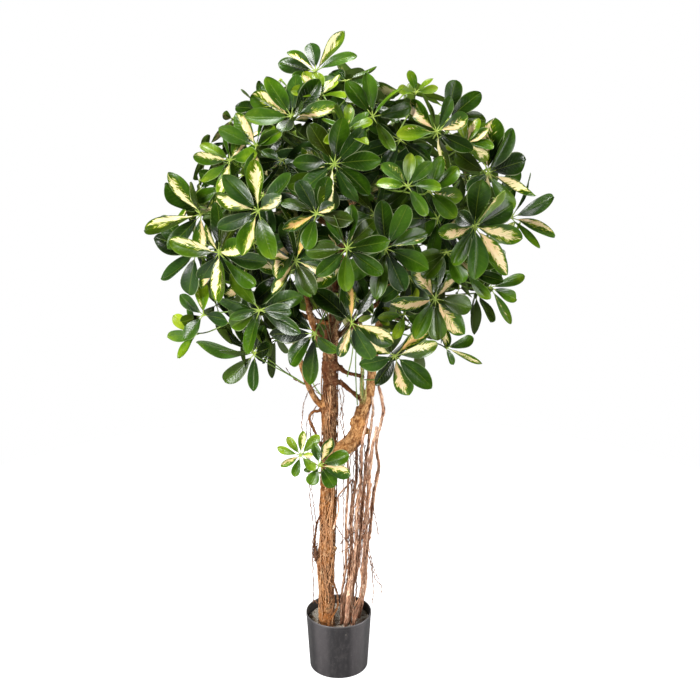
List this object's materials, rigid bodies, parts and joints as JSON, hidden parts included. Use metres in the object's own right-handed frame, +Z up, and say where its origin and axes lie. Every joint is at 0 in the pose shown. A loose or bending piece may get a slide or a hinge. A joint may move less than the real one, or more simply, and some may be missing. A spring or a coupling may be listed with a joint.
{
  "type": "potted umbrella plant",
  "caption": "Variegated dwarf schefflera grown as a small standard tree: a ball of palmate leaves on a forked natural trunk with lianas, in a plain black pot.",
  "frame": {"origin": "centre of the pot's flat underside, on the floor", "axes": "+Z up the trunk, front of the plant towards -Y, +X to its right as seen from the front"},
  "size_m": [0.8435, 0.6631, 1.436],
  "materials": {
    "pot": "satin moulded plastic",
    "filler": "rough, dusty, cast",
    "bark": "natural bark, orange-brown, fibrous",
    "liana": "thin bark, pinkish brown",
    "leaf": "waxy, dark green with cream variegation"
  },
  "bodies": {
    "root": {"filler": "filler", "liana_1": "liana", "liana_2": "liana", "liana_3": "liana", "liana_4": "liana", "liana_5": "liana", "liana_6": "liana", "pot": "pot", "spray_back_01": "leaf", "spray_back_02": "leaf", "spray_back_03": "leaf", "spray_back_04": "leaf", "spray_back_05": "leaf", "spray_back_06": "leaf", "spray_back_07": "leaf", "spray_back_08": "leaf", "spray_back_09": "leaf", "spray_back_10": "leaf", "spray_back_11": "leaf", "spray_back_12": "leaf", "spray_back_13": "leaf", "spray_back_14": "leaf", "spray_back_15": "leaf", "spray_far_left": "leaf", "spray_far_right": "leaf", "spray_front_low": "leaf", "spray_heart": "leaf", "spray_heart_high": "leaf", "spray_heart_low": "leaf", "spray_heart_right": "leaf", "spray_left": "leaf", "spray_left_edge": "leaf", "spray_left_high": "leaf", "spray_left_low": "leaf", "spray_left_middle": "leaf", "spray_low_left": "leaf", "spray_low_right": "leaf", "spray_middle_low": "leaf", "spray_right": "leaf", "spray_right_edge": "leaf", "spray_right_high": "leaf", "spray_right_inner": "leaf", "spray_right_low": "leaf", "spray_right_middle": "leaf", "spray_right_shoulder": "leaf", "spray_top": "leaf", "spray_top_left": "leaf", "spray_top_right": "leaf", "spray_trunk": "leaf", "trunk": "bark"}
  },
  "joints": []
}
